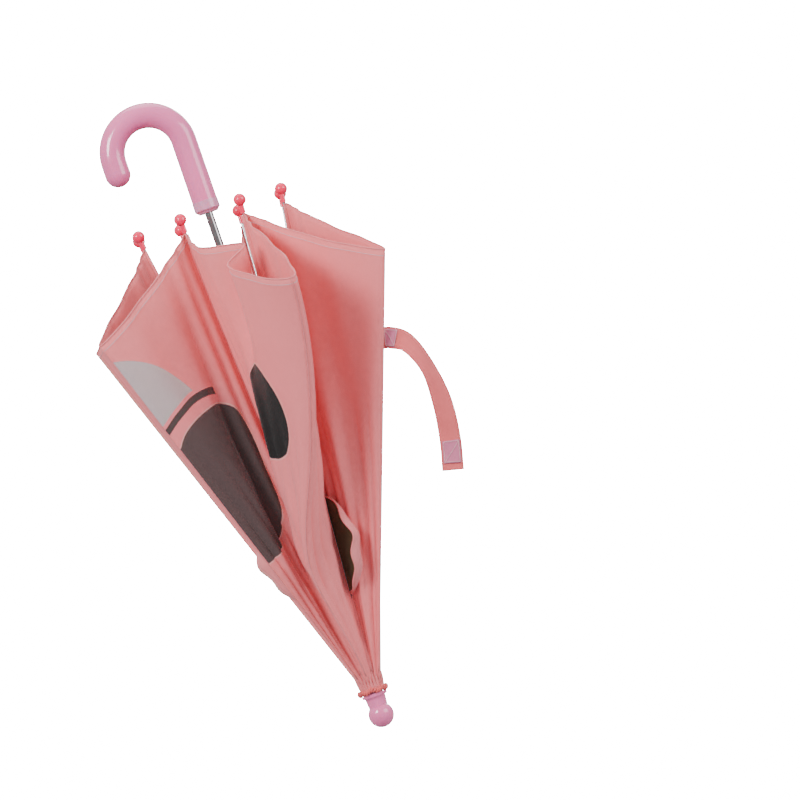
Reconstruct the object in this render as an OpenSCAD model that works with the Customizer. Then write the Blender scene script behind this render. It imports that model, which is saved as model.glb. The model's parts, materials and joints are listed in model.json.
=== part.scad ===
// Children's crook-handled stick umbrella, closed but not yet rolled: eight ribs, eight fabric gores.
// +Z runs up the shaft to the handle, the hook opens to -X, and the origin is the grip's centre.

/* [Shaft and handle] */
// Distance from the crown trim up to the collar's lower end
shaft_exposed = 480; // [420:5:560]
// Outer diameter of the steel shaft tube
shaft_d = 8; // [7:0.5:9]
// Wall of the shaft tube
shaft_wall = 0.7; // [0.5:0.1:1]
// Diameter of the handle's round bar
grip_d = 24.5; // [20:0.5:28]
// Length of the straight grip, from the collar's lower end to the hook's bend
grip_len = 73; // [60:1:95]
// Radius of the hook's bend at the middle of the bar
hook_r = 35; // [26:1:42]
// Straight length after the hook's bend
hook_tail = 11; // [4:1:20]
// Length of the collar band
collar_len = 12; // [8:1:18]
// Depth of the shaft's socket, from the collar's lower end
socket_depth = 50; // [30:1:58]

/* [Crown] */
// Radius of the circle that the ribs and stretchers are wired on
pivot_r = 8.5; // [8.5:0.1:10]
// Diameter of the ferrule's ball
ferrule_ball_d = 24.5; // [18:0.5:27]
// Distance from the crown trim down to the ball's centre
ferrule_drop = 24; // [20:1:30]
// Diameter of the ferrule's neck
ferrule_neck_d = 17; // [12:0.5:20]
// Outer diameter of the crown trim's cord ring
trim_d = 32; // [27:1:38]
// Thickness of the crown trim's cord
trim_cord_d = 6; // [4:0.5:7]

/* [Ribs] */
// Length of a rib from its pivot to the centre of its ball tip
rib_len = 475; // [400:5:520]
// Diameter of the rib wire
rib_d = 2.6; // [2:0.1:2.7]
// Diameter of the ball tips
tip_d = 12; // [9:0.5:14]
// Length of a stretcher, and how far along the rib it joins
stretcher_len = 190; // [160:1:205]
// Angle of the ribs to the shaft while the umbrella hangs closed but loose
loose_angle = 8.3; // [7.6:0.1:9]
// Angle of the ribs to the shaft when the umbrella is open
open_angle = 58; // [52:1:64]

/* [Runner] */
// Length of the runner's sleeve
sleeve_len = 28; // [20:1:40]
// Outer diameter of the runner's sleeve
sleeve_d = 15; // [14:0.5:17]

/* [Canopy] */
// Thickness given to the fabric panels
fabric_t = 0.7; // [0.5:0.1:1]
// How far the hem is cut in at the middle of a gore
hem_dip = 14; // [5:1:25]
// Turn of the side gores' fold, away from the gore's middle
side_sweep = 2.8; // [0:0.1:2.9]
// Turn of the rear side gores' fold, away from the gore's middle
rear_sweep = 2.2; // [0:0.1:2.9]
// Length of a fabric ear along its rib
ear_len = 105; // [70:1:130]
// How far a fabric ear stands out from its rib
ear_w = 42; // [25:1:55]
// Distance from the rib's pivot to the ear's middle
ear_at = 135; // [110:1:160]

/* [Strap] */
// Width of the closing strap
strap_w = 19.5; // [14:0.5:25]
// Length of the strap's stretch that runs out from the fold
strap_root_len = 26; // [18:1:36]
// Length of the strap's hanging stretch
strap_hang_len = 150; // [110:1:170]
// Height above the crown at which the strap leaves the fold
strap_height = 315; // [250:5:360]

/* [Hidden] */
$fn = 48;
N = 8;
step = 360 / N;
half = step / 2;
fit = 0.05;          // slip between pieces of one body
run = 0.3;           // room between pieces that move past each other
eye_r = 2.0;         // outer radius of an eye on a rib or stretcher
eye_w = 2.4;         // width of an eye
wire_r = 0.5;        // radius of the wire that threads the eyes
eye_bore_r = 0.85;   // bore of an eye, which leaves room for the wire's curve
slot_w = eye_w + 2 * run;
hub_r = pivot_r - eye_r - run;
notch_r = pivot_r + 2;
notch_half_h = 3.2;
cap_t = 1.2;
shaft_r = shaft_d / 2;
trim_bore_r = trim_d / 2 - trim_cord_d;
catch_proud = 1.3;   // how far a catch stands out of the shaft
key_r = shaft_r + catch_proud + run;
catch_t = 1.2;
catch_l = 16;
catch_gap = 6;       // from the loose runner to the catch that holds it closed
trim_gap = 1;        // between the ferrule's neck and the cord round it
neck_flare = 3.5;    // how much wider the ferrule's neck is at its top
cheek_t = 0.8;       // thickness of a fork's cheek
fork_len = 24;
rivet_r = 0.6;
strut_d = 2.2;
stem_d = 5;
stem_l = 7;
seam_gap = 3.4;      // from a rib's axis to the fabric beside it
crown_gap = 40;      // from a rib's pivot to the start of the panels
// Shares of the width to the fold that stiff panels cover, so that two halves never cross.
even_share = 0.76;
wide_share = 0.95;
narrow_share = 0.70;
stop_r = 0.8;
strap_y = 6;         // from the panel's middle to the strap's
strap_t = 1;
strap_lean = 4;      // degrees the hanging length leans outwards
patch_t = 0.8;

collar_z = -(grip_len + collar_len) / 2;
crown_z = collar_z - shaft_exposed;
pivot_z = crown_z + trim_cord_d / 2 + cap_t + notch_half_h;
// The loose runner and the catch above it stay below the collar, so a short shaft opens the ribs.
runner_room = collar_z - pivot_z - notch_half_h - sleeve_len - catch_gap - catch_l - 1;
rest_angle = max(loose_angle, acos(min(1, runner_room / (2 * stretcher_len))));
runner_z = pivot_z + 2 * stretcher_len * cos(rest_angle);
open_runner_z = pivot_z + 2 * stretcher_len * cos(open_angle);
bend_z = collar_z + grip_len;
shaft_top_z = collar_z + socket_depth;
shaft_foot_z = crown_z - trim_cord_d / 2 - 12;
stop_z = open_runner_z - notch_half_h - run - stop_r - 1;
open_catch_z = open_runner_z + notch_half_h + sleeve_len + 1 - catch_l + 2;
closed_catch_z = runner_z + notch_half_h + sleeve_len + catch_gap;

// The open canopy is a pyramid whose apex lies apex_t below each rib's pivot, along the rib.
apex_t = pivot_r / sin(open_angle);
gore_half = asin(sin(open_angle) * sin(half));
hem_t = rib_len - tip_d / 2 - stem_l;
fold_r = (hem_t + apex_t) * cos(gore_half) - hem_dip;
loose_eff = asin((pivot_r + hem_t * sin(rest_angle)) / (hem_t + apex_t));
rib_gap_angle = 2 * asin(sin(loose_eff) * sin(half));
lean = atan(tan(half) * cos(rest_angle));

// One value for each gore: how far its fold is turned towards the next rib.
sweeps = [0, side_sweep, rear_sweep, 0, -rear_sweep, -side_sweep, 0, 0];

function rib_az(k) = half + step * (k - 1);
function next(k) = k == N ? 1 : k + 1;
// The wide half of an even gore is on the side that faces the front.
function fold_share(g, s) =
    sweeps[g - 1] != 0 ? even_share
    : s == (g > N / 2 && g < N ? -1 : 1) ? wide_share
    : narrow_share;
function own_half(g, s) = gore_half + s * sweeps[g - 1];
// Angle of a panel about its rib, from straight outwards, while the umbrella is loose.
function fold_angle(g, s) =
    let (own = own_half(g, s), other = own_half(g, -s))
    90 + lean - acos((cos(other) - cos(rib_gap_angle) * cos(own)) / (sin(rib_gap_angle) * sin(own)));
function radial(a) = [sin(a), -cos(a), 0];
function along(a) = sin(rest_angle) * radial(a) + [0, 0, cos(rest_angle)];
function outward(a) = cos(rest_angle) * radial(a) - [0, 0, sin(rest_angle)];
function round_to(a) = [cos(a), sin(a), 0];
// A point on a panel: t along the rib and w across the fabric.
function on_panel(g, s, t, w) =
    let (a = rib_az(s > 0 ? g : next(g)), f = fold_angle(g, s))
    [0, 0, pivot_z] + pivot_r * radial(a) + t * along(a)
    + w * (cos(f) * outward(a) + s * sin(f) * round_to(a));
strap_r = (strap_height - pivot_z + crown_z) / cos(rest_angle + gore_half);
strap_at = on_panel(1, -1, strap_r * cos(gore_half) - apex_t, strap_r * sin(gore_half));

// ---- Placing ----

// Stands the children on rib k's pivot, with +Z along the rib and +X straight outwards.
module on_rib(k) {
    translate([0, 0, pivot_z])
        rotate([0, 0, rib_az(k) - 90])
            translate([pivot_r, 0, 0])
                rotate([0, rest_angle, 0])
                    children();
}

// Stands the children on stretcher k's rivet, with +Z along the stretcher to the runner.
module on_stretcher(k) {
    on_rib(k)
        translate([0, 0, stretcher_len])
            rotate([0, -2 * rest_angle, 0])
                children();
}

// Extrudes a flat outline in the XZ plane, half its thickness each way.
module plate(t) {
    rotate([90, 0, 0])
        linear_extrude(t, center = true)
            children();
}

// ---- Shaft and crown ----

module catch_slot(z) {
    translate([-catch_t / 2 - run, -shaft_r - 1, z - run])
        cube([catch_t + 2 * run, shaft_r + 1, catch_l + 2 * run]);
}

module shaft() {
    color("silver")
        difference() {
            translate([0, 0, shaft_foot_z])
                cylinder(r = shaft_r, h = shaft_top_z - shaft_foot_z);
            translate([0, 0, shaft_foot_z + 1])
                cylinder(r = shaft_r - shaft_wall, h = shaft_top_z - shaft_foot_z);
            catch_slot(open_catch_z);
            catch_slot(closed_catch_z);
            translate([0, 0, stop_z])
                rotate([0, 90, 0])
                    cylinder(r = stop_r, h = shaft_d + 2, center = true);
        }
}

module stop_pin() {
    color("silver")
        translate([0, 0, stop_z])
            rotate([0, 90, 0])
                cylinder(r = stop_r - fit, h = shaft_d + 2.6, center = true);
}

// A grooved ring with one slot for each eye; slots run through its height.
module notch(z, bore_r) {
    translate([0, 0, z])
        difference() {
            cylinder(r = notch_r, h = 2 * notch_half_h, center = true);
            cylinder(r = bore_r, h = 3 * notch_half_h, center = true);
            for (k = [1 : N])
                rotate([0, 0, rib_az(k) - 90])
                    translate([hub_r, -slot_w / 2, -2 * notch_half_h])
                        cube([notch_r, slot_w, 4 * notch_half_h]);
            difference() {
                cylinder(r = notch_r + 1, h = 2 * wire_r + 2 * fit, center = true);
                cylinder(r = pivot_r - wire_r, h = 2 * notch_half_h, center = true);
            }
        }
}

module wire_ring(z) {
    translate([0, 0, z])
        rotate_extrude()
            translate([pivot_r, 0])
                circle(r = wire_r);
}

module crown_notch() {
    color("gainsboro")
        notch(pivot_z, shaft_r + fit);
}

module crown_wire() {
    color("silver")
        wire_ring(pivot_z);
}

module canopy_cap() {
    color("lightcoral")
        translate([0, 0, pivot_z - notch_half_h - cap_t])
            difference() {
                cylinder(r = notch_r + 1, h = cap_t);
                translate([0, 0, -1])
                    cylinder(r = shaft_r + fit, h = cap_t + 2);
            }
}

module crown_trim() {
    color("salmon")
        translate([0, 0, crown_z])
            rotate_extrude()
                translate([(trim_d - trim_cord_d) / 2, 0])
                    circle(d = trim_cord_d);
}

module ferrule_cap() {
    flange_h = 3;
    top = -trim_cord_d / 2;
    color("pink")
        translate([0, 0, crown_z])
            difference() {
                union() {
                    translate([0, 0, -ferrule_drop])
                        sphere(d = ferrule_ball_d);
                    translate([0, 0, -ferrule_drop])
                        cylinder(
                            d1 = ferrule_neck_d,
                            d2 = ferrule_neck_d + neck_flare,
                            h = ferrule_drop + top - 1
                        );
                    translate([0, 0, top - flange_h])
                        cylinder(d = ferrule_ball_d, h = flange_h);
                    translate([0, 0, top - flange_h])
                        cylinder(r = trim_bore_r - trim_gap, h = flange_h + trim_cord_d);
                }
                translate([0, 0, shaft_foot_z - crown_z])
                    cylinder(r = shaft_r + fit, h = ferrule_drop + trim_cord_d);
            }
}

// ---- Handle ----

module handle() {
    r = grip_d / 2;
    color("pink")
        difference() {
            union() {
                translate([0, 0, collar_z + collar_len])
                    cylinder(r = r, h = grip_len - collar_len);
                translate([-hook_r, 0, bend_z])
                    rotate([90, 0, 0])
                        rotate_extrude(angle = 180)
                            translate([hook_r, 0])
                                circle(r = r);
                translate([-2 * hook_r, 0, bend_z - hook_tail])
                    cylinder(r = r, h = hook_tail);
                translate([-2 * hook_r, 0, bend_z - hook_tail])
                    sphere(r = r);
            }
            translate([0, 0, collar_z])
                cylinder(r = shaft_r + fit, h = socket_depth);
        }
}

module handle_collar() {
    r = grip_d / 2 + 0.3;
    neck = r - 3;
    color("thistle")
        translate([0, 0, collar_z])
            rotate_extrude()
                difference() {
                    union() {
                        polygon([[0, 0], [neck, 0], [r, 4], [r, collar_len], [0, collar_len]]);
                        translate([r - 2, 4])
                            circle(r = 2);
                    }
                    translate([0, -5])
                        square([shaft_r + fit, collar_len + 10]);
                    translate([-2 * r, -5])
                        square([2 * r, collar_len + 10]);
                }
}

// ---- Ribs and stretchers ----

module eye() {
    rotate([90, 0, 0])
        cylinder(r = eye_r, h = eye_w, center = true);
}

module eye_bore() {
    rotate([90, 0, 0])
        cylinder(r = eye_bore_r, h = 2 * eye_w, center = true);
}

module rib(k) {
    color("gray")
        on_rib(k)
            difference() {
                union() {
                    cylinder(d = rib_d, h = rib_len - 3);
                    eye();
                    translate([0, 0, stretcher_len])
                        eye();
                }
                eye_bore();
                translate([0, 0, stretcher_len])
                    eye_bore();
                translate([0, 0, -pivot_r])
                    cylinder(d = rib_d + 1, h = pivot_r - eye_r);
            }
}

module tip(k) {
    color("crimson")
        on_rib(k)
            difference() {
                union() {
                    translate([0, 0, rib_len])
                        sphere(d = tip_d);
                    translate([0, 0, hem_t])
                        cylinder(d = stem_d, h = stem_l + tip_d / 2);
                }
                translate([0, 0, hem_t - 1])
                    cylinder(d = rib_d + 2 * fit, h = rib_len - 3 - hem_t + 1);
            }
}

// The fork straddles the rib, so the stretcher folds up along it.
module stretcher(k) {
    cheek_y = eye_w / 2 + run;
    bar_top = stretcher_len;
    color("darkgray")
        on_stretcher(k)
            difference() {
                union() {
                    for (s = [-1, 1])
                        translate([0, s * (cheek_y + cheek_t / 2), 0]) {
                            rotate([90, 0, 0])
                                cylinder(r = eye_r, h = cheek_t, center = true);
                            translate([-1.2, -cheek_t / 2, 0])
                                cube([2.4, cheek_t, fork_len]);
                        }
                    rotate([90, 0, 0])
                        cylinder(r = rivet_r, h = 2 * (cheek_y + cheek_t), center = true);
                    translate([-1.2, -cheek_y - cheek_t, fork_len])
                        cube([2.4, 2 * (cheek_y + cheek_t), 2]);
                    translate([0, 0, fork_len + 1])
                        cylinder(d = strut_d, h = bar_top - fork_len - 1);
                    translate([0, 0, bar_top])
                        eye();
                }
                translate([0, 0, bar_top])
                    eye_bore();
            }
}

// ---- Runner and catches ----

module runner() {
    color("hotpink")
        difference() {
            union() {
                notch(runner_z, shaft_r + 0.15);
                translate([0, 0, runner_z + notch_half_h])
                    difference() {
                        cylinder(d = sleeve_d, h = sleeve_len);
                        translate([0, 0, -1])
                            cylinder(r = shaft_r + 0.15, h = sleeve_len + 2);
                    }
            }
            translate([-catch_t / 2 - run, -key_r, runner_z - 2 * notch_half_h])
                cube([catch_t + 2 * run, key_r, sleeve_len + 4 * notch_half_h]);
        }
}

module runner_wire() {
    color("silver")
        wire_ring(runner_z);
}

// A sprung leaf that leans out of its slot; its step faces up the shaft, and it turns on its foot.
module catch_leaf(z) {
    foot_r = 0.8;
    inner = shaft_r - shaft_wall - 2.2;
    color("slategray")
        translate([0, 0, z])
            rotate([0, 0, -90])
                plate(catch_t) {
                    polygon([
                        [inner, 0], [inner + 2 * foot_r, 0], [shaft_r + catch_proud, catch_l - 2],
                        [shaft_r + catch_proud, catch_l], [inner, catch_l]
                    ]);
                    translate([inner + foot_r, 0])
                        circle(r = foot_r);
                }
}

// ---- Canopy ----

// A stiff stand-in for one half of a gore: s is 1 beside the rib before it, -1 beside the next.
module half_gore(g, s) {
    own = own_half(g, s);
    fold_t = fold_r * cos(own) - apex_t;
    share = fold_share(g, s);
    color("lightsalmon")
        on_rib(s > 0 ? g : next(g))
            rotate([0, 0, s * fold_angle(g, s)])
                plate(fabric_t)
                    polygon([
                        [seam_gap, crown_gap],
                        [share * (crown_gap + apex_t) * tan(own), crown_gap],
                        [share * fold_r * sin(own), fold_t],
                        [seam_gap, hem_t - 1]
                    ]);
}

// A pointed fabric leaf sewn into a rib's seam, standing straight out of it.
module ear(k) {
    bow = (ear_w * ear_w + ear_len * ear_len / 4) / (2 * ear_w);
    color("saddlebrown")
        on_rib(k)
            plate(1.2)
                intersection() {
                    translate([ear_w - bow + seam_gap, ear_at])
                        circle(r = bow);
                    translate([seam_gap, ear_at - ear_len / 2])
                        square([ear_w, ear_len]);
                }
}

// ---- Strap ----

module strap_hang() {
    translate(strap_at + [strap_root_len, strap_y, strap_w / 2])
        rotate([0, -strap_lean, 0])
            children();
}

module strap() {
    color("lightcoral") {
        union() {
            translate(strap_at + [0, strap_y, 0])
                plate(strap_t)
                    translate([0, -strap_w / 2])
                        square([strap_root_len, strap_w]);
            strap_hang()
                plate(strap_t)
                    translate([-strap_w, -strap_hang_len])
                        square([strap_w, strap_hang_len]);
        }
    }
}

module strap_patch_root() {
    color("orchid")
        translate(strap_at + [2, strap_y - (strap_t + patch_t) / 2, 0])
            plate(patch_t)
                translate([0, -strap_w / 2 + 1])
                    square([strap_root_len - strap_w / 2 - 4, strap_w - 2]);
}

module strap_patch_end() {
    color("orchid")
        strap_hang()
            translate([0, -(strap_t + patch_t) / 2, 0])
                plate(patch_t)
                    translate([1 - strap_w, 3 - strap_hang_len])
                        square([strap_w - 2, 22]);
}

shaft();
handle();
handle_collar();
crown_notch();
crown_wire();
ferrule_cap();
crown_trim();
canopy_cap();
stop_pin();
runner();
runner_wire();
catch_leaf(open_catch_z);  // open_catch
catch_leaf(closed_catch_z);  // closed_catch
strap();
strap_patch_root();
strap_patch_end();
ear(1);  // ear_1
ear(7);  // ear_2
for (k = [1 : N]) {
    rib(k);
    tip(k);
    stretcher(k);
    half_gore(k, 1);
    half_gore(k, -1);
}
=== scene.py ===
"""Children's umbrella: fabric, trims, materials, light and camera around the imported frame."""
import json
import math

import bpy
import numpy as np
from mathutils import Matrix, Vector


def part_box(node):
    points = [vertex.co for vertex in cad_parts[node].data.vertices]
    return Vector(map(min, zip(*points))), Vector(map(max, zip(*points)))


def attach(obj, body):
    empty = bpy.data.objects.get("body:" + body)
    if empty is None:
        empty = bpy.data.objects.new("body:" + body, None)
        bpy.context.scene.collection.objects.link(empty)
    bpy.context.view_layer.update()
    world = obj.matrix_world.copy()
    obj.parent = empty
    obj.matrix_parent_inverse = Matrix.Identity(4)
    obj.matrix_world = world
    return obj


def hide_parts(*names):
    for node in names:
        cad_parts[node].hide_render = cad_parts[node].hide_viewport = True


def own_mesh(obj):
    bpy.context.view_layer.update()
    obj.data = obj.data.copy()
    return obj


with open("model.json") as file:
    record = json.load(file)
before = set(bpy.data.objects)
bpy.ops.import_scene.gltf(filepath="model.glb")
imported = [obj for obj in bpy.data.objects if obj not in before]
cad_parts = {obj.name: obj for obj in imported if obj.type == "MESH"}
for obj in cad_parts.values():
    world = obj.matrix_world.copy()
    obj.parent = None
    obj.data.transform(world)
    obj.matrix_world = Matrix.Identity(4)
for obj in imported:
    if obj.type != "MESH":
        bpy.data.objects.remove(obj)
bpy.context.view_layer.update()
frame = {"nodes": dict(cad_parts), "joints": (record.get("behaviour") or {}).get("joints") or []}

JOINTS = {joint["name"]: joint for joint in frame["joints"]}
NODES = frame["nodes"]
RIBS = 8
MM = 0.001
UP = Vector((0, 0, 1))


# ---------------------------------------------------------------- frame geometry

def next_rib(k):
    """The rib after rib k, round the shaft."""
    return k % RIBS + 1


def points(node):
    """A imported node's vertices, as rows of x, y and z."""
    mesh = NODES[node].data
    co = np.empty(len(mesh.vertices) * 3)
    mesh.vertices.foreach_get("co", co)
    return co.reshape(-1, 3)


class Rib:
    """A rib's pivot and directions at rest."""

    def __init__(self, k):
        joint = JOINTS[f"gore_{k}_a_fold"]
        self.k = k
        self.pivot = Vector(joint["pos_m"])
        self.along = Vector(joint["axis"]).normalized()
        self.radial = Vector((self.pivot.x, self.pivot.y, 0)).normalized()
        self.round = UP.cross(self.radial)
        self.out = self.round.cross(self.along).normalized()

    def at(self, t, out=0.0, side=0.0):
        """A point t along the rib, and off it outwards and round the shaft."""
        return self.pivot + self.along * t + self.out * out + self.round * side


RIB = {k: Rib(k) for k in range(1, RIBS + 1)}
LOOSE = math.acos(RIB[1].along.z)
OPEN = LOOSE + math.radians(JOINTS["umbrella_fold"]["range_deg"][1])
PIVOT_R = math.hypot(RIB[1].pivot.x, RIB[1].pivot.y)
APEX_T = PIVOT_R / math.sin(OPEN)
GORE_HALF = math.asin(math.sin(OPEN) * math.sin(math.pi / RIBS))
HEM_DIP = 14 * MM    # how far the open hem dips between two ribs
HEM_PAST = 1 * MM    # how far the cloth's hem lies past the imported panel's
FAR_SHARE = 0.99     # a panel's points this near its greatest width lie on its fold


class Half:
    """One half of a gore: its rib, its plane at rest and its angles in the flat cut."""

    def __init__(self, gore, letter):
        self.name = f"gore_{gore}_{letter}"
        self.gore = gore
        self.letter = letter
        self.side = 1 if letter == "a" else -1
        self.rib = RIB[gore if letter == "a" else next_rib(gore)]
        rel = points(self.name) - np.array(self.rib.pivot)
        t = rel @ np.array(self.rib.along)
        across = rel - np.outer(t, np.array(self.rib.along))
        w = np.linalg.norm(across, axis=1)
        far = w > w.max() * FAR_SHARE
        self.across = Vector(across[far].mean(axis=0)).normalized()
        self.outer = self.rib.along.cross(self.across).normalized() * -self.side
        self.hem_t = float(t.max()) + HEM_PAST
        self.hem_r = self.hem_t + APEX_T
        self.fold_r = self.hem_r * math.cos(GORE_HALF) - HEM_DIP
        fold_t = float(t[far].mean())
        self.own = math.acos(min(1.0, (fold_t + APEX_T) / self.fold_r))

    def rim(self, angle):
        """Distance from the open canopy's apex to the hem, at an angle from the rib."""
        turn = abs(GORE_HALF - angle)
        chord = self.hem_r * math.cos(GORE_HALF) / math.cos(turn)
        return chord - HEM_DIP * (1 - (turn / GORE_HALF) ** 2)


HALVES = [Half(g, letter) for g in range(1, RIBS + 1) for letter in "ab"]
for first, second in zip(HALVES[::2], HALVES[1::2]):
    first.other, second.other = second, first


# ---------------------------------------------------------------- mesh helpers

def mesh_object(name, verts, faces, smooth=True, uvs=None):
    """A new object in the scene; uvs holds one place for each vertex."""
    mesh = bpy.data.meshes.new(name)
    mesh.from_pydata([tuple(v) for v in verts], [], faces)
    if uvs is not None:
        layer = mesh.uv_layers.new(name="UVMap")
        for loop in mesh.loops:
            layer.data[loop.index].uv = uvs[loop.vertex_index]
    mesh.update()
    if smooth:
        mesh.polygons.foreach_set("use_smooth", [True] * len(mesh.polygons))
    obj = bpy.data.objects.new(name, mesh)
    bpy.context.scene.collection.objects.link(obj)
    return obj


def grid_faces(rows, cols, wrap_rows=False, wrap_cols=False, flip=False):
    """Quads over a grid of vertices that is stored row by row."""
    faces = []
    for i in range(rows if wrap_rows else rows - 1):
        for j in range(cols if wrap_cols else cols - 1):
            a = i * cols + j
            b = i * cols + (j + 1) % cols
            c = ((i + 1) % rows) * cols + (j + 1) % cols
            d = ((i + 1) % rows) * cols + j
            faces.append((a, d, c, b) if flip else (a, b, c, d))
    return faces


def thicken(obj, thickness, back_slot=0):
    """Gives a sheet its thickness, half to each side; its back and rim can have another material."""
    mod = obj.modifiers.new("thickness", "SOLIDIFY")
    mod.thickness = thickness
    mod.offset = 0.0
    mod.material_offset = back_slot
    mod.material_offset_rim = back_slot


def tube_parts(path, radius, sides, closed=False):
    """Vertices and faces of a round tube along a list of Vectors."""
    n = len(path)
    verts = []
    side = None
    for i, p in enumerate(path):
        if closed:
            tangent = (path[(i + 1) % n] - path[i - 1]).normalized()
        else:
            tangent = (path[min(i + 1, n - 1)] - path[max(i - 1, 0)]).normalized()
        if side is None:
            side = tangent.orthogonal().normalized()
        side = (side - tangent * side.dot(tangent)).normalized()
        up = tangent.cross(side)
        for j in range(sides):
            a = 2 * math.pi * j / sides
            verts.append(p + (side * math.cos(a) + up * math.sin(a)) * radius)
    faces = grid_faces(n, sides, wrap_rows=closed, wrap_cols=True)
    if not closed:
        faces.append(tuple(range(sides - 1, -1, -1)))
        faces.append(tuple((n - 1) * sides + j for j in range(sides)))
    return verts, faces


def tube(name, path, radius, sides, closed=False):
    return mesh_object(name, *tube_parts(path, radius, sides, closed))


def smooth_step(low, high, x):
    """0 up to low, 1 from high on, and an even curve between them."""
    t = min(1.0, max(0.0, (x - low) / (high - low)))
    return t * t * (3 - 2 * t)


# ---------------------------------------------------------------- materials

def srgb(r, g, b):
    """A screen colour, in 0 to 255, as the linear colour that a socket takes."""
    def lin(c):
        c /= 255
        return c / 12.92 if c <= 0.04045 else ((c + 0.055) / 1.055) ** 2.4
    return (lin(r), lin(g), lin(b), 1.0)


class Shader:
    """A small builder for node materials."""

    def __init__(self, name):
        self.mat = bpy.data.materials.new(name)
        self.mat.use_nodes = True
        self.tree = self.mat.node_tree
        self.bsdf = self.tree.nodes["Principled BSDF"]

    def node(self, kind, **values):
        made = self.tree.nodes.new(kind)
        for key, value in values.items():
            setattr(made, key, value)
        return made

    def link(self, source, target):
        self.tree.links.new(source, target)

    def put(self, socket, value):
        if isinstance(value, bpy.types.NodeSocket):
            self.link(value, socket)
        else:
            socket.default_value = value

    def math(self, operation, a, b=None, c=None):
        made = self.node("ShaderNodeMath", operation=operation)
        for socket, value in zip(made.inputs, (a, b, c)):
            if value is not None:
                self.put(socket, value)
        return made.outputs[0]

    def mix(self, factor, a, b):
        made = self.node("ShaderNodeMix", data_type="RGBA")
        self.put(made.inputs["Factor"], factor)
        self.put(made.inputs[6], a)
        self.put(made.inputs[7], b)
        return made.outputs[2]

    def ramp(self, value, low, high):
        """0 at low and 1 at high, straight between them and held past them."""
        made = self.node("ShaderNodeMapRange")
        self.put(made.inputs["Value"], value)
        made.inputs["From Min"].default_value = low
        made.inputs["From Max"].default_value = high
        return made.outputs[0]

    def noise(self, vector, scale, detail, roughness=0.5):
        made = self.node("ShaderNodeTexNoise")
        self.put(made.inputs["Vector"], vector)
        made.inputs["Scale"].default_value = scale
        made.inputs["Detail"].default_value = detail
        made.inputs["Roughness"].default_value = roughness
        return made.outputs["Fac"]

    def bump(self, height, distance, strength, under=None):
        made = self.node("ShaderNodeBump")
        made.inputs["Strength"].default_value = strength
        made.inputs["Distance"].default_value = distance
        self.put(made.inputs["Height"], height)
        if under is not None:
            self.link(under, made.inputs["Normal"])
        return made.outputs["Normal"]

    def set(self, **values):
        names = {"color": "Base Color", "rough": "Roughness", "metal": "Metallic",
                 "sheen": "Sheen Weight", "sheen_rough": "Sheen Roughness", "coat": "Coat Weight",
                 "coat_rough": "Coat Roughness", "sss": "Subsurface Weight",
                 "sss_scale": "Subsurface Scale", "normal": "Normal", "spec": "Specular IOR Level"}
        for key, value in values.items():
            self.put(self.bsdf.inputs[names[key]], value)


def object_coords(shader):
    return shader.node("ShaderNodeTexCoord").outputs["Object"]


def shade(color, share):
    """A colour made darker, or lighter when share is above 1."""
    return tuple(min(1, c * share) for c in color[:3]) + (1.0,)


# Noise scales are in repeats to a metre, and relief heights in metres.
PLASTIC_DRIFT = 0.05
PLASTIC_CLOUD, PLASTIC_MARK, PLASTIC_RIPPLE = 18, 45, 90
PLASTIC_RELIEF = 0.00012
METAL_LINE, METAL_SPOT = 900, 120
METAL_STRETCH = 0.02     # the lines run along the shaft
METAL_RELIEF = 0.00005
SPOT_SHADE = 0.82
CLOTH_CREASE, CLOTH_SLUB, CLOTH_CLOUD, PIECE_CLOUD = 30, 900, 9, 40
CREASE_RELIEF = 0.0014
THREAD = 0.00045         # length of one weave repeat
WEAVE_RELIEF = 0.00006
CLOTH_SHADE = 0.86
CANOPY_ROUGH = 0.62
CLOTH_ROUGH = 0.7
PATCH_ROUGH = 0.85


def plastic(name, color, rough, sss=0.08):
    """Glossy moulded plastic, with faint colour drift, fine ripple and handling marks."""
    s = Shader(name)
    where = object_coords(s)
    cloud = s.ramp(s.noise(where, PLASTIC_CLOUD, 2), 0.3, 0.7)
    s.set(color=s.mix(cloud, shade(color, 1 - PLASTIC_DRIFT), shade(color, 1 + PLASTIC_DRIFT)))
    marks = s.noise(where, PLASTIC_MARK, 3)
    roughness = s.math("MULTIPLY_ADD", marks, rough * 0.5, rough * 0.75)
    ripple = s.noise(where, PLASTIC_RIPPLE, 2)
    s.set(rough=roughness, normal=s.bump(ripple, PLASTIC_RELIEF, 0.25), coat=0.5, coat_rough=0.06,
          sss=sss, sss_scale=0.004, spec=0.5)
    return s.mat


def metal(name, color, rough):
    """Plated or drawn steel, with fine lines along the shaft."""
    s = Shader(name)
    where = object_coords(s)
    stretch = s.node("ShaderNodeMapping")
    stretch.inputs["Scale"].default_value = (1, 1, METAL_STRETCH)
    s.link(where, stretch.inputs["Vector"])
    lines = s.noise(stretch.outputs[0], METAL_LINE, 4)
    spots = s.ramp(s.noise(where, METAL_SPOT, 4), 0.45, 0.8)
    s.set(color=s.mix(spots, color, shade(color, SPOT_SHADE)), metal=1.0,
          rough=s.math("MULTIPLY_ADD", lines, rough, rough * 0.6),
          normal=s.bump(lines, METAL_RELIEF, 0.3))
    return s.mat


def weave(s, where):
    """Height of a plain weave, over coordinates in metres."""
    split = s.node("ShaderNodeSeparateXYZ")
    s.link(where, split.inputs[0])
    turn = 2 * math.pi / THREAD
    warp = s.math("SINE", s.math("MULTIPLY", split.outputs[0], turn))
    weft = s.math("SINE", s.math("MULTIPLY", split.outputs[1], turn))
    return s.math("MULTIPLY", warp, weft)


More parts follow.
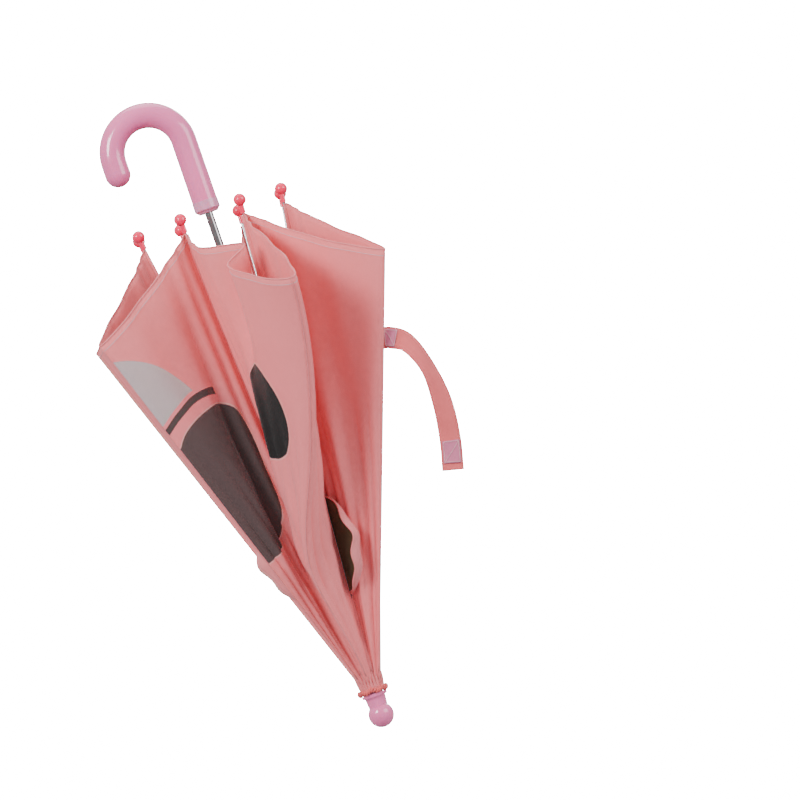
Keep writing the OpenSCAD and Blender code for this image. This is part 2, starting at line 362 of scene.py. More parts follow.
def cloth_finish(s, where, base, rough=CANOPY_ROUGH):
    """Pongee-like canopy cloth: a faint weave, soft creases and a slight sheen."""
    body = object_coords(s)
    soft = s.bump(s.noise(body, CLOTH_CREASE, 4, 0.55), CREASE_RELIEF, 0.6)
    woven = s.bump(weave(s, where), WEAVE_RELIEF, 0.55, under=soft)
    tone = s.math("MULTIPLY_ADD", s.noise(body, CLOTH_SLUB, 2), 0.10, 0.95)
    tint = s.node("ShaderNodeVectorMath", operation="SCALE")
    s.put(tint.inputs[0], base)
    s.put(tint.inputs["Scale"], tone)
    s.set(color=tint.outputs[0], normal=woven, rough=rough, sheen=0.22, sheen_rough=0.45, spec=0.35)


SALMON = srgb(246, 130, 134)
SALMON_DEEP = srgb(230, 104, 108)
PALE_LINE = srgb(244, 166, 162)
DOME_GREY = srgb(190, 172, 174)
STROKE_DARK = srgb(74, 58, 58)
PATCH_DARK = srgb(80, 62, 62)
OVAL_BLACK = srgb(10, 4, 6)

# The printed shapes, in metres of the flat cut: across from the rib, and out from the canopy's apex.
DOME_CENTRE, DOME_R = (0.208, 0.2715), 0.1595
STROKE_CENTRE = (0.070, 0.244)
CLEAR_R, STROKE_OUTER_R, STROKE_INNER_R = 0.0975, 0.0935, 0.0865
STROKE_FROM = (0.037, 0.25)     # the stroke shows only past this, both across and out
PATCH_CENTRE, PATCH_RADII, PATCH_POWER = (0.063, 0.241), (0.046, 0.077), 3.4
OVAL_CENTRE, OVAL_RADII, OVAL_TILT = (0.049, 0.296), (0.026, 0.046), -0.12
PRINT_EDGE = 0.0003      # half the width over which a print's edge fades
OUTLINE_WIDTH = 0.0007


def uv_coords(s):
    return s.node("ShaderNodeUVMap", uv_map="UVMap").outputs["UV"]


def fabric_base(s):
    """Salmon that drifts slowly towards a deeper tone."""
    cloud = s.ramp(s.noise(object_coords(s), CLOTH_CLOUD, 3), 0.3, 0.8)
    return s.mix(s.math("MULTIPLY", cloud, 0.25), SALMON, SALMON_DEEP)


def ellipse_field(s, x, y, centre, radii, tilt=0.0, power=2):
    """Below 0 inside a tilted ellipse, or a squarer one, in metres of the flat cut."""
    c, n = math.cos(tilt), math.sin(tilt)
    dx = s.math("SUBTRACT", x, centre[0])
    dy = s.math("SUBTRACT", y, centre[1])
    a = s.math("DIVIDE", s.math("ADD", s.math("MULTIPLY", dx, c), s.math("MULTIPLY", dy, n)), radii[0])
    b = s.math("DIVIDE", s.math("SUBTRACT", s.math("MULTIPLY", dy, c), s.math("MULTIPLY", dx, n)), radii[1])
    a = s.math("POWER", s.math("ABSOLUTE", a), power)
    b = s.math("POWER", s.math("ABSOLUTE", b), power)
    r = s.math("POWER", s.math("ADD", a, b), 1 / power)
    return s.math("MULTIPLY", s.math("SUBTRACT", r, 1.0), min(radii))


def disc_field(s, x, y, centre, radius):
    return ellipse_field(s, x, y, centre, (radius, radius))


def inside(s, field):
    """1 where the field is below 0, with a narrow soft edge."""
    return s.math("SUBTRACT", 1.0, s.ramp(field, -PRINT_EDGE, PRINT_EDGE))


def overlay(s, base, field, color, outline=None):
    """Paints a printed shape, with a thin outline round it where a colour is given for one."""
    if outline is not None:
        base = s.mix(inside(s, s.math("SUBTRACT", field, OUTLINE_WIDTH)), base, outline)
    return s.mix(inside(s, field), base, color)


def split_uv(s, where):
    """The place across from the rib and the place out from the apex."""
    split = s.node("ShaderNodeSeparateXYZ")
    s.link(where, split.inputs[0])
    return split.outputs[0], split.outputs[1]


def canopy_plain():
    s = Shader("canopy_plain")
    cloth_finish(s, uv_coords(s), fabric_base(s))
    return s.mat


def canopy_patches():
    """Left front gore: a grey dome, a dark arched stroke and a long dark patch, plain shapes."""
    s = Shader("canopy_patches")
    where = uv_coords(s)
    x, y = split_uv(s, where)
    base = overlay(s, fabric_base(s), disc_field(s, x, y, DOME_CENTRE, DOME_R), DOME_GREY)
    base = overlay(s, base, disc_field(s, x, y, STROKE_CENTRE, CLEAR_R), SALMON)
    outer = disc_field(s, x, y, STROKE_CENTRE, STROKE_OUTER_R)
    inner = disc_field(s, x, y, STROKE_CENTRE, STROKE_INNER_R)
    stroke = s.math("MAXIMUM", outer, s.math("MULTIPLY", inner, -1))
    for place, start in zip((x, y), STROKE_FROM):
        stroke = s.math("MAXIMUM", stroke, s.math("SUBTRACT", start, place))
    base = overlay(s, base, stroke, STROKE_DARK)
    patch = ellipse_field(s, x, y, PATCH_CENTRE, PATCH_RADII, power=PATCH_POWER)
    cloth_finish(s, where, overlay(s, base, patch, PATCH_DARK, PALE_LINE))
    return s.mat


def canopy_oval():
    """Front gore: one black oval beside the rib."""
    s = Shader("canopy_oval")
    where = uv_coords(s)
    x, y = split_uv(s, where)
    oval = ellipse_field(s, x, y, OVAL_CENTRE, OVAL_RADII, OVAL_TILT)
    cloth_finish(s, where, overlay(s, fabric_base(s), oval, OVAL_BLACK, PALE_LINE))
    return s.mat


def plain_cloth(name, color, rough=CLOTH_ROUGH):
    """Any other cloth piece, woven in object space."""
    s = Shader(name)
    where = object_coords(s)
    split = s.node("ShaderNodeSeparateXYZ")
    s.link(where, split.inputs[0])
    flat = s.node("ShaderNodeCombineXYZ")
    s.link(s.math("ADD", split.outputs[0], split.outputs[1]), flat.inputs[0])
    s.link(split.outputs[2], flat.inputs[1])
    cloud = s.ramp(s.noise(where, PIECE_CLOUD, 3), 0.3, 0.75)
    cloth_finish(s, flat.outputs[0], s.mix(cloud, color, shade(color, CLOTH_SHADE)), rough)
    return s.mat


MATERIALS = {
    "handle": plastic("handle_plastic", srgb(234, 112, 166), 0.16),
    "collar": plastic("collar_plastic", srgb(216, 142, 178), 0.24, sss=0.25),
    "tip": plastic("tip_plastic", srgb(255, 24, 84), 0.2),
    "runner": plastic("runner_plastic", srgb(224, 96, 124), 0.25),
    "chrome": metal("shaft_chrome", (0.30, 0.29, 0.30, 1), 0.08),
    "steel": metal("rib_steel", (0.50, 0.50, 0.52, 1), 0.22),
    "plain": canopy_plain(),
    "patches": canopy_patches(),
    "oval": canopy_oval(),
    "seam": plain_cloth("seam_tape", srgb(234, 128, 132)),
    "trim": plain_cloth("trim_cord", srgb(232, 96, 96)),
    "strap": plain_cloth("strap_fabric", srgb(230, 102, 104)),
    "patch": plain_cloth("patch_fabric", srgb(208, 116, 148), PATCH_ROUGH),
    "thread": plain_cloth("thread", srgb(226, 176, 184)),
    "ear": plain_cloth("ear_fabric", srgb(92, 76, 54)),
    "ear_back": plain_cloth("ear_back_fabric", srgb(238, 136, 140)),
}


def dress(obj, *names):
    """Gives an object its materials, by their names in MATERIALS."""
    obj.data.materials.clear()
    for name in names:
        obj.data.materials.append(MATERIALS[name])


def dress_frame():
    """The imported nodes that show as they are."""
    looks = {"handle": "handle", "ferrule_cap": "handle", "handle_collar": "collar",
             "shaft": "chrome", "stop_pin": "chrome", "runner": "runner", "crown_notch": "runner",
             "crown_wire": "steel", "runner_wire": "steel", "open_catch": "steel",
             "closed_catch": "steel", "canopy_cap": "seam"}
    for k in range(1, RIBS + 1):
        looks[f"rib_{k}"] = "steel"
        looks[f"stretcher_{k}"] = "steel"
        looks[f"tip_{k}"] = "tip"
    for node, look in looks.items():
        dress(NODES[node], look)


# ---------------------------------------------------------------- canopy

CLOTH_T = 0.4 * MM
CLOTH_COLS, CLOTH_ROWS = 56, 72
SHEET_START = 1.5 * MM    # from a rib's pivot to the start of its cloth
SEAM_OFF = 2.6 * MM       # how far the cloth keeps from a rib's axis, past the seam itself
SEAM_OPENS = (8, 0.35)    # how fast that distance is reached, and its share at the seam

# How far a half gore swells outwards. The front one holds open.
FRONT = 8
BELLY = {FRONT: 13 * MM}
PLAIN_BELLY = 6 * MM
BELLY_PEAK = 2.6          # makes the swell about 1 at its fullest
# The gores at the back lie closer together, so their folds are shallower.
CALM = {2: 0.75, 3: 0.35, 4: 0.35, 5: 0.35, 6: 0.75}

# How far the waves and pleats shift from gore to gore and from half to half, in radians.
GORE_SHIFT, HALF_SHIFT = 1.7, 0.9
# Slow waves: turns across the half gore and along it, and how much of that shift they take.
CROWN_WAVE = (1.6, 0.35, 1.0)
HEM_WAVE = (0.8, -1.1, 2.3)
SMALL_WAVE = (3.1, 0.9, 1.1)
CROWN_WAVE_SHARE = 0.115  # of the half gore's width at that height
HEM_WAVE_H = 2.2 * MM
SMALL_WAVE_H = 1.0 * MM

# Soft folds beside each rib: height, distance from the rib and half width, in mm.
SEAM_FOLDS = ((3.2, 9, 3.4), (-2.4, 15, 3.0), (2.2, 21, 3.6), (-2.4, 29, 4.5), (1.5, 40, 6.0))
SEAM_DRIFT = 0.25
SEAM_EASE = 0.45          # how much of their height they lose at the hem

# Pleats that run down from the crown.
PLEATS = 6
PLEAT_SHARE = 0.30        # of a pleat's own width
PLEAT_H = 2.6 * MM
PLEAT_WANDER = 0.22
PLEAT_CREASE = 0.16

# The front gore's hem curls to the right and holds a tuck; nearer the crown the gore is pinched in.
CURL = 47 * MM
PINCH, PINCH_PLACE, PINCH_WIDTH = 20 * MM, 0.32, 0.2
TUCK, TUCK_PLACE, TUCK_WIDTH = 36 * MM, 0.35, 0.10

# Where each form rises or fades, as shares of the way from the crown to the hem.
BELLY_RISE = (0.05, 0.8)
CROWN_WAVE_FADE = (0.30, 0.85)
SEAM_RISE, SEAM_FADE = (0.10, 0.4), (0.7, 1.0)
PLEAT_FADE = (0.30, 0.75)
CURL_RISE, TUCK_RISE = (0.3, 1.0), (0.66, 1.0)
# The same for pleats, as shares of the way from the rib to the fold.
PLEAT_START, PLEAT_END = (0.0, 0.12), (0.94, 1.0)


def bell(x, middle, width):
    """1 at the middle, and fading away to both sides."""
    return math.exp(-((x - middle) / width) ** 2)


def spread(x):
    """Places across a half panel, closer together near its rib and its fold."""
    return x - 0.13 * math.sin(2 * math.pi * x)


def wave(kind, u, v, phase):
    """One slow wave's height, from -1 to 1."""
    across, along, shift = kind
    return math.sin(2 * math.pi * (across * u + along * v) + shift * phase)


def slow_waves(u, v, width, phase):
    """Waves of the loose cloth: large ones towards the crown, and lower ones all over."""
    crown = width * CROWN_WAVE_SHARE * (1 - smooth_step(*CROWN_WAVE_FADE, v))
    return (crown * wave(CROWN_WAVE, u, v, phase) + HEM_WAVE_H * v * wave(HEM_WAVE, u, v, phase)
            + SMALL_WAVE_H * wave(SMALL_WAVE, u, v, phase))


def seam_folds(w, v, phase):
    """Soft folds that run down beside a rib."""
    drift = 1 + SEAM_DRIFT * math.sin(2.5 * v + phase)
    height = sum(size * bell(w, place * drift * MM, wide * MM) for size, place, wide in SEAM_FOLDS)
    return height * MM * smooth_step(*SEAM_RISE, v) * (1 - SEAM_EASE * smooth_step(*SEAM_FADE, v))


def pleats(u, v, width, phase):
    """Gathers from the crown: rounded ridges with a narrow crease between them."""
    place = (PLEATS * u + PLEAT_WANDER * math.sin(7 * v + phase) + 0.1 * phase) % 1 - 0.5
    depth = min(PLEAT_SHARE * width / PLEATS, PLEAT_H) * (1 - smooth_step(*PLEAT_FADE, v))
    depth *= smooth_step(*PLEAT_START, u) * (1 - 0.8 * smooth_step(*PLEAT_END, u))
    return depth * (0.25 - 0.3 * math.cos(2 * math.pi * place) - bell(place, 0, PLEAT_CREASE))


def raw_point(half, u, v):
    """A point of the loose fabric before its fold edge is closed, and its place in the flat cut."""
    rib = half.rib
    gore = half.gore
    angle = u * half.own
    low = APEX_T + SHEET_START
    r = low + (half.rim(angle) - low) * v
    w = r * math.sin(angle)
    width = r * math.sin(half.own)
    opens, at_rib = SEAM_OPENS
    off = max(w, SEAM_OFF * min(1.0, u * opens + at_rib))
    point = rib.at(r * math.cos(angle) - APEX_T) + half.across * off
    phase = GORE_SHIFT * gore + (HALF_SHIFT if half.letter == "a" else 0.0)
    window = math.sin(math.pi * min(1.0, u * 1.02)) ** 0.8
    belly = BELLY.get(gore, PLAIN_BELLY) * smooth_step(*BELLY_RISE, v)
    lift = belly * BELLY_PEAK * u * math.sqrt(max(0.0, 1 - u))
    lift += window * slow_waves(u, v, width, phase)
    lift += window ** 0.4 * seam_folds(w, v, phase)
    lift += pleats(u, v, width, phase)
    lift *= CALM.get(gore, 1.0)
    if gore == FRONT:
        bend = CURL * smooth_step(*CURL_RISE, v) - PINCH * bell(v, PINCH_PLACE, PINCH_WIDTH)
        point = point + Vector((1, 0, 0)) * bend * u ** 1.4
        if half.letter == "a":
            lift -= TUCK * bell(u, TUCK_PLACE, TUCK_WIDTH) * smooth_step(*TUCK_RISE, v)
    return point + half.outer * lift, (w, r)


def half_gore_point(half, u, v):
    """A point of the loose fabric, and its place in the flat cut; both halves meet at the fold."""
    point, flat = raw_point(half, u, v)
    own = raw_point(half, 1.0, v)[0]
    other = raw_point(half.other, 1.0, v)[0]
    return point + (other - own) * 0.5 * u * u, flat


def fold_with(obj, half):
    """Cloth that rides on its half gore and flattens as the umbrella opens or closes."""
    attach(obj, half.name)
    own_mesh(obj)


LOOKS = {"gore_7_b": "patches", "gore_8_a": "oval"}


def canopy():
    """Each half gore as one curved sheet, with its hem; one half of each gore carries the crease."""
    for half in HALVES:
        verts, uvs = [], []
        for i in range(CLOTH_ROWS):
            v = i / (CLOTH_ROWS - 1)
            for j in range(CLOTH_COLS):
                point, flat = half_gore_point(half, spread(j / (CLOTH_COLS - 1)), v)
                verts.append(point)
                uvs.append(flat)
        faces = grid_faces(CLOTH_ROWS, CLOTH_COLS, flip=half.side > 0)
        obj = mesh_object(f"canopy_{half.gore}_{half.letter}", verts, faces, uvs=uvs)
        dress(obj, LOOKS.get(half.name, "plain"))
        thicken(obj, CLOTH_T)
        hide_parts(half.name)
        fold_with(obj, half)
        hem_band(half)
        if half.letter == "b":
            fold_crease(half)


CREASE_STEPS, CREASE_START, CREASE_R = 60, 0.02, 0.8 * MM


def fold_crease(half):
    """The rounded crease where the loose fabric turns back; one half carries it."""
    path = []
    for i in range(CREASE_STEPS):
        v = CREASE_START + (1 - CREASE_START) * i / (CREASE_STEPS - 1)
        path.append(half_gore_point(half, 1.0, v)[0])
    obj = tube(f"crease_{half.gore}", path, CREASE_R, 8)
    dress(obj, "seam")
    fold_with(obj, half)


HEM_STEPS, HEM_R = 56, 0.75 * MM
STITCH_ROW, STITCH_OFF, STITCH_R = 0.986, 0.25 * MM, 0.32 * MM


def hem_band(half):
    """The turned hem along the sheet's rim, and the row of stitches that holds it."""
    places = [spread((j + 0.3) / (HEM_STEPS - 0.7)) for j in range(HEM_STEPS)]
    rim = [half_gore_point(half, u, 1.0)[0] for u in places]
    row = [half_gore_point(half, u, STITCH_ROW)[0] + half.outer * STITCH_OFF for u in places]
    for name, path, radius, look in (("hem", rim, HEM_R, "seam"), ("stitch", row, STITCH_R, "thread")):
        obj = tube(f"{name}_{half.gore}_{half.letter}", path, radius, 8)
        dress(obj, look)
        fold_with(obj, half)


TAPE_R, TAPE_ARC, TAPE_T = 3.2 * MM, math.radians(98), 0.35 * MM
TAPE_START, TAPE_SHORT = 11 * MM, 2 * MM
TAPE_ROWS, TAPE_COLS = 60, 12


def seam_tapes():
    """The seam over each rib: an arched tape on the rib's outer side, narrower at the hem."""
    end = HALVES[0].hem_t - TAPE_SHORT
    for k in range(1, RIBS + 1):
        verts = []
        for i in range(TAPE_ROWS):
            v = i / (TAPE_ROWS - 1)
            t = TAPE_START + (end - TAPE_START) * v
            r = TAPE_R * (1 + 0.05 * math.sin(i * 0.9 + k) - 0.25 * smooth_step(0.94, 1.0, v))
            for j in range(TAPE_COLS):
                a = -TAPE_ARC + 2 * TAPE_ARC * j / (TAPE_COLS - 1)
                verts.append(RIB[k].at(t, r * math.cos(a), r * math.sin(a)))
        obj = mesh_object(f"seam_{k}", verts, grid_faces(TAPE_ROWS, TAPE_COLS))
        dress(obj, "seam")
        thicken(obj, TAPE_T)
        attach(obj, f"rib_{k}")


GATHER_LOW, GATHER_H = 3 * MM, 30 * MM
GATHER_R, GATHER_BELLY = 11.1 * MM, 0.9 * MM
GATHER_DEPTH, GATHER_DEEPER = 0.3 * MM, 1.0 * MM
GATHER_ROWS, GATHER_COLS, GATHER_FOLDS = 22, 192, 24


def crown_gather():
    """Gathered fabric that rises out of the crown trim."""
    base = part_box("canopy_cap")[0][2] - GATHER_LOW
    verts = []
    for i in range(GATHER_ROWS):
        v = i / (GATHER_ROWS - 1)
        mean = GATHER_R + GATHER_BELLY * math.sin(math.pi * v)
        deep = GATHER_DEPTH + GATHER_DEEPER * math.sin(math.pi * v)
        for j in range(GATHER_COLS):
            a = 2 * math.pi * j / GATHER_COLS
            wobble = math.sin(GATHER_FOLDS * a + 0.8 * math.sin(3 * a)) + 0.3 * math.sin(11 * a + 2 * v)
            r = mean + deep * wobble
            verts.append((r * math.cos(a), r * math.sin(a), base + GATHER_H * v))
    obj = mesh_object("crown_gather", verts, grid_faces(GATHER_ROWS, GATHER_COLS, wrap_cols=True))
    dress(obj, "seam")
    thicken(obj, CLOTH_T)
    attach(obj, "root")
    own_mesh(obj)


STRAND_R, STRAND_OFF = 1.15 * MM, 1.35 * MM
STRAND_TURNS, STEPS_A_TURN = 17, 14
RUFFLE_SIDE, RUFFLE_UP = 0.4 * MM, 0.9 * MM


def crown_trim():
    """Two strands twisted together and ruffled, round the ferrule's flange."""
    low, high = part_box("crown_trim")
    middle = (low[2] + high[2]) / 2
    ring = high[0] - STRAND_R - STRAND_OFF - RUFFLE_SIDE
    steps = STRAND_TURNS * STEPS_A_TURN
    for n in range(2):
        path = []
        for i in range(steps):
            a = 2 * math.pi * i / steps
            twist = STRAND_TURNS * a + n * math.pi
            r = ring + STRAND_OFF * math.cos(twist) + RUFFLE_SIDE * math.sin(5 * a)
            z = middle + STRAND_OFF * math.sin(twist) + RUFFLE_UP * math.sin(7 * a + 1)
            path.append(Vector((r * math.cos(a), r * math.sin(a), z)))
        obj = tube(f"trim_strand_{n + 1}", path, STRAND_R, 10, closed=True)
        dress(obj, "trim")
        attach(obj, "root")
    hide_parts("crown_trim")


# ---------------------------------------------------------------- ears

ROLL_LOW, ROLL_HIGH = 2.9, 1.5    # how far the rim rolls over at the leaf's two ends, in radians
EAR_ROOT = 3.4 * MM               # from the rib's axis to where the leaf leaves the seam
EAR_ROWS, EAR_COLS = 48, 30
EAR_T, EAR_EDGE_R = 1.1 * MM, 1.0 * MM


def ear(number, rib_number, turn, rolled_from):
    """A fabric leaf sewn into a rib's seam, brown inside; its rim rolls over to the salmon side."""
    node = f"ear_{number}"
    rib = RIB[rib_number]
    rel = points(node) - np.array(rib.pivot)
    t = rel @ np.array(rib.along)
    out = rel @ np.array(rib.out)
    start, end, reach = float(t.min()), float(t.max()), float(out.max())
    middle, length = (start + end) / 2, end - start
    verts = []
    for i in range(EAR_ROWS):
        a = -1 + 2 * i / (EAR_ROWS - 1)
        span = reach * (1 - abs(a) ** 2.2) ** 0.75
        roll = ROLL_HIGH + (ROLL_LOW - ROLL_HIGH) * (0.5 - 0.5 * a)
        w, side = EAR_ROOT, 0.0
        for j in range(EAR_COLS):
            b = j / (EAR_COLS - 1)
            lean = turn + 0.12 * math.sin(3 * a + number) * b + 0.22 * math.sin(9 * a) * b * b
            lean -= roll * smooth_step(rolled_from, 1.0, b) * (1 - a ** 6)
            along = middle + a * length / 2 + 0.05 * length * b * (0.3 - a)
            verts.append(rib.at(along, w, side))
            w += span * math.cos(lean) / (EAR_COLS - 1)
            side += span * math.sin(lean) / (EAR_COLS - 1)
    obj = mesh_object(f"ear_leaf_{number}", verts, grid_faces(EAR_ROWS, EAR_COLS))
    dress(obj, "ear", "ear_back")
    thicken(obj, EAR_T, back_slot=1)
    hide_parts(node)
    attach(obj, f"rib_{rib_number}")
    rim = tube(f"ear_edge_{number}", verts[EAR_COLS - 1::EAR_COLS], EAR_EDGE_R, 8)
    dress(rim, "ear_back")
    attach(rim, f"rib_{rib_number}")


# ---------------------------------------------------------------- strap

STRAP_W = 19.5 * MM
STRAP_STEPS = 160
STRAP_T, STRAP_BOW = 1.1 * MM, 0.5 * MM
EDGE_IN, EDGE_R = 0.2 * MM, 0.75 * MM
# Start and end of each patch along the strap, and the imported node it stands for.
PATCHES = ((0.10, 0.22, "strap_patch_root"), (0.84, 0.965, "strap_patch_end"))
PATCH_LIFT, PATCH_T, PATCH_MARGIN = 1.1 * MM, 0.9 * MM, 1.4 * MM
SEWN_LIFT, SEWN_MARGIN, SEWN_R = 1.85 * MM, 2.6 * MM, 0.28 * MM
SEWN_TURN = 20            # points across the strap, at each end of a patch


def curve_through(knots, steps):
    """Catmull-Rom points through the knots; each knot is a tuple of floats."""
    pts = [np.array(k, float) for k in knots]
    pts = [2 * pts[0] - pts[1]] + pts + [2 * pts[-1] - pts[-2]]
    out = []
    spans = len(pts) - 3
    for i in range(steps):
        x = spans * i / (steps - 1)
        n = min(int(x), spans - 1)
        f = x - n
        a, b, c, d = pts[n:n + 4]
        out.append(0.5 * (2 * b + (c - a) * f + (2 * a - 5 * b + 4 * c - d) * f ** 2
                          + (3 * b - a - 3 * c + d) * f ** 3))
    return out


def strap_knots():
    """Points of the strap's centre line, from its packed box, each with the turn of its width."""
    low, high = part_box("strap")
    y = (low[1] + high[1]) / 2
    left, right, foot = low[0], high[0], low[2]
    mid = high[2] - STRAP_W / 2
    return [
        (left - 8 * MM, y + 2 * MM, mid + 3 * MM, 0.10),
        (left + 7 * MM, y, mid - 1 * MM, 0.05),
        (right - 16 * MM, y - 2 * MM, mid - 12 * MM, -0.50),
        (right - 6 * MM, y - 3 * MM, mid - 40 * MM, -0.75),
        (right - 4 * MM, y - 2 * MM, mid - 74 * MM, -0.35),
        (right - 8 * MM, y, mid - 108 * MM, -0.10),
        (right - 15 * MM, y, foot + 4 * MM, 0.05),
    ]


def strap_line():
    """Along the strap: a point, the direction of its width and the direction it faces."""
    samples = curve_through(strap_knots(), STRAP_STEPS)
    line = []
    for i, sample in enumerate(samples):
        before = samples[max(i - 1, 0)][:3]
        after = samples[min(i + 1, len(samples) - 1)][:3]
        tangent = Vector(after - before).normalized()
        face = Vector((0, -1, 0))
        face = (face - tangent * face.dot(tangent)).normalized()
        side = tangent.cross(face).normalized()
        turn = Matrix.Rotation(float(sample[3]), 3, tangent)
        line.append((Vector(sample[:3]), turn @ side, turn @ face))
    return line


def on_strap(place, across, half_width, lift):
    """A point on the strap's bowed face, across going from -1 at one edge to 1 at the other."""
    point, side, face = place
    return point + side * across * half_width + face * (lift + STRAP_BOW * (1 - across * across))


def ribbon(name, part, lift, look, node, thickness, margin=0.0):
    """A flat band along part of the strap's line."""
    cols = 9
    half_width = STRAP_W / 2 - margin
    places = [-1 + 2 * j / (cols - 1) for j in range(cols)]
    verts = [on_strap(place, b, half_width, lift) for place in part for b in places]
    obj = mesh_object(name, verts, grid_faces(len(part), cols))
    dress(obj, look)
    thicken(obj, thickness)
    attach(obj, "strap")
    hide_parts(node)
    return obj


def strap():
    """The closing strap: its band, two bound edges, and a stitched patch near each end."""
    line = strap_line()
    band = ribbon("strap_band", line, 0, "strap", "strap", STRAP_T)
    sewn = []
    for n, b in enumerate((-1, 1)):
        path = [point + side * b * (STRAP_W / 2 - EDGE_IN) for point, side, _ in line]
        edge = tube(f"strap_edge_{n + 1}", path, EDGE_R, 8)
        dress(edge, "strap")
        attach(edge, "strap")
        sewn.append(edge)
    for n, (start, end, node) in enumerate(PATCHES):
        part = line[int(start * len(line)):int(end * len(line))]
        patch = ribbon(f"strap_hook_patch_{n + 1}", part, PATCH_LIFT, "patch", node, PATCH_T, PATCH_MARGIN)
        sewn += [patch, box_stitch(f"strap_stitch_{n + 1}", part[1:-1])]


def box_stitch(name, part):
    """A raised line of stitching round a patch and once across it, from corner to corner."""
    def at(place, across):
        return on_strap(place, across, STRAP_W / 2 - SEWN_MARGIN, SEWN_LIFT)

    span = len(part) - 1
    turn = [-1 + 2 * i / SEWN_TURN for i in range(SEWN_TURN)]
    loop = [at(place, -1) for place in part[:-1]] + [at(part[-1], b) for b in turn]
    loop += [at(place, 1) for place in part[:0:-1]] + [at(part[0], -b) for b in turn]
    cross = [at(place, -1 + 2 * i / span) for i, place in enumerate(part)]
    verts, faces = tube_parts(loop, SEWN_R, 6, closed=True)
    shift = len(verts)
    cross_verts, cross_faces = tube_parts(cross, SEWN_R, 6)
    faces += [tuple(i + shift for i in face) for face in cross_faces]
    obj = mesh_object(name, verts + cross_verts, faces)
    dress(obj, "thread")
    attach(obj, "strap")
    return obj


# ---------------------------------------------------------------- stage, light, camera

FLOOR_R = 0.75
FLOOR_FULL = 0.1          # the floor shows most within this distance of the middle
FLOOR_SHOW = 0.25         # and this is how much of it shows there
FLOOR_DROP = 4 * MM
FLOOR_SIDES = 96
# The light from all round grows with height between these two.
SKY_LOW, SKY_HIGH = -0.6, 0.8
SKY_DIM, SKY_BRIGHT = 0.35, 1.3
SEEN_WHITE = 40.0


def floor_material():
    """Pale and matt under the object, and fading out to the white surround."""
    s = Shader("floor")
    s.set(color=(0.93, 0.93, 0.93, 1), rough=0.85, spec=0.1)
    away = s.node("ShaderNodeVectorMath", operation="LENGTH")
    s.link(object_coords(s), away.inputs[0])
    fade = s.ramp(away.outputs["Value"], FLOOR_R, FLOOR_FULL)
    s.link(s.math("MULTIPLY", fade, FLOOR_SHOW), s.bsdf.inputs["Alpha"])
    return s.mat


def studio_world():
    """White all round to the eye; softer, and darker from below, as light on the object."""
    world = bpy.data.worlds.new("studio")
    bpy.context.scene.world = world
    world.use_nodes = True
    tree = world.node_tree
    tree.nodes.clear()
    where = tree.nodes.new("ShaderNodeTexCoord")
    split = tree.nodes.new("ShaderNodeSeparateXYZ")
    tree.links.new(where.outputs["Generated"], split.inputs[0])
    height = tree.nodes.new("ShaderNodeMapRange")
    tree.links.new(split.outputs[2], height.inputs["Value"])
    height.inputs["From Min"].default_value = SKY_LOW
    height.inputs["From Max"].default_value = SKY_HIGH
    height.inputs["To Min"].default_value = SKY_DIM
    height.inputs["To Max"].default_value = SKY_BRIGHT
    soft = tree.nodes.new("ShaderNodeBackground")
    tree.links.new(height.outputs[0], soft.inputs["Strength"])
    bright = tree.nodes.new("ShaderNodeBackground")
    bright.inputs["Strength"].default_value = SEEN_WHITE
    seen = tree.nodes.new("ShaderNodeLightPath")
    mix = tree.nodes.new("ShaderNodeMixShader")
    tree.links.new(seen.outputs["Is Camera Ray"], mix.inputs[0])
    tree.links.new(soft.outputs[0], mix.inputs[1])
    tree.links.new(bright.outputs[0], mix.inputs[2])
    out = tree.nodes.new("ShaderNodeOutputWorld")
    tree.links.new(mix.outputs[0], out.inputs["Surface"])


def stage():
    """A round pale floor just under the ferrule, and the light from all round."""
    angles = [2 * math.pi * i / FLOOR_SIDES for i in range(FLOOR_SIDES)]
    rim = [(FLOOR_R * math.cos(a), FLOOR_R * math.sin(a), 0) for a in angles]
    floor = mesh_object("floor", rim, [tuple(range(FLOOR_SIDES))], smooth=False)
    floor.location.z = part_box("ferrule_cap")[0][2] - FLOOR_DROP
    floor.data.materials.append(floor_material())
    studio_world()


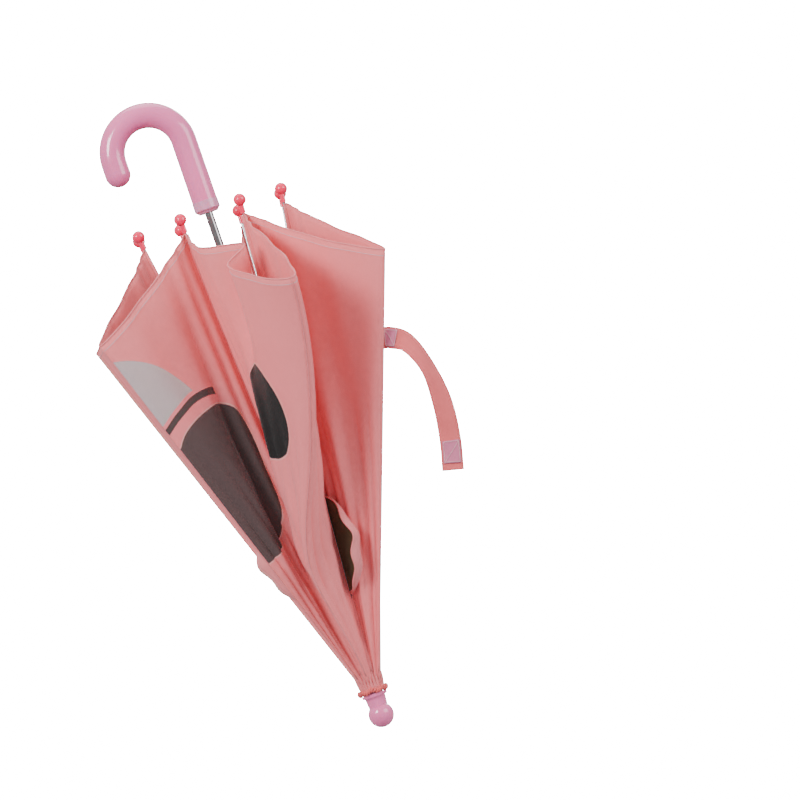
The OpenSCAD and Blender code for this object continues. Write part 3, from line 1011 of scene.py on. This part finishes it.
# The camera: its roll, its turn to the right, and its rise over what it aims at (below 0, it looks up).
VIEW_LEAN = math.radians(19)
VIEW_TURN = math.radians(2.5)
VIEW_RISE = math.radians(-2)
VIEW_WIDTH = 0.76         # how much it takes in, in metres, at what it aims at
VIEW_DISTANCE = 7.0
VIEW_ASIDE, VIEW_ABOVE = 0.114, 0.2525    # what it aims at, beside the shaft and above the crown trim
SENSOR = 36
LIT_ABOVE = 0.28          # what the lights aim at, above the crown trim
# Each light's place, the side of its square and its power.
LIGHTS = {
    "key": ((-1.1, -1.5, 0.75), 0.7, 40),
    "fill": ((1.6, -1.2, 0.2), 1.2, 27),
    "top": ((0.3, 0.3, 1.5), 1.2, 12),
    "rear": ((0.8, 1.6, 0.6), 1.0, 24),
}


def area_light(name, where, target, size, power):
    data = bpy.data.lights.new(name, "AREA")
    data.shape = "SQUARE"
    data.size = size
    data.energy = power
    light = bpy.data.objects.new(name, data)
    light.location = where
    light.rotation_euler = (target - Vector(where)).to_track_quat("-Z", "Y").to_euler()
    bpy.context.scene.collection.objects.link(light)


def main_camera(target):
    """A long lens, turned round its own axis so that the umbrella leans."""
    data = bpy.data.cameras.new("camera")
    data.sensor_width = SENSOR
    data.lens = SENSOR * VIEW_DISTANCE / VIEW_WIDTH
    camera = bpy.data.objects.new("camera", data)
    level = math.cos(VIEW_RISE)
    ahead = Vector((level * math.sin(VIEW_TURN), level * math.cos(VIEW_TURN), -math.sin(VIEW_RISE)))
    across = ahead.cross(UP).normalized()
    up = Matrix.Rotation(VIEW_LEAN, 3, ahead) @ across.cross(ahead)
    right = ahead.cross(up)
    place = Matrix((right, up, -ahead)).transposed().to_4x4()
    place.translation = target - ahead * VIEW_DISTANCE
    camera.matrix_world = place
    bpy.context.scene.collection.objects.link(camera)
    bpy.context.scene.camera = camera


def camera_and_light():
    low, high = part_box("crown_trim")
    crown_z = (low[2] + high[2]) / 2
    main_camera(Vector((VIEW_ASIDE, 0, crown_z + VIEW_ABOVE)))
    for name, (where, size, power) in LIGHTS.items():
        area_light(name, where, Vector((0, 0, crown_z + LIT_ABOVE)), size, power)


camera_and_light()
dress_frame()
canopy()
seam_tapes()
crown_gather()
crown_trim()
ear(1, 1, 0.22, 0.62)
ear(2, 7, 0.30, 0.18)
strap()
stage()
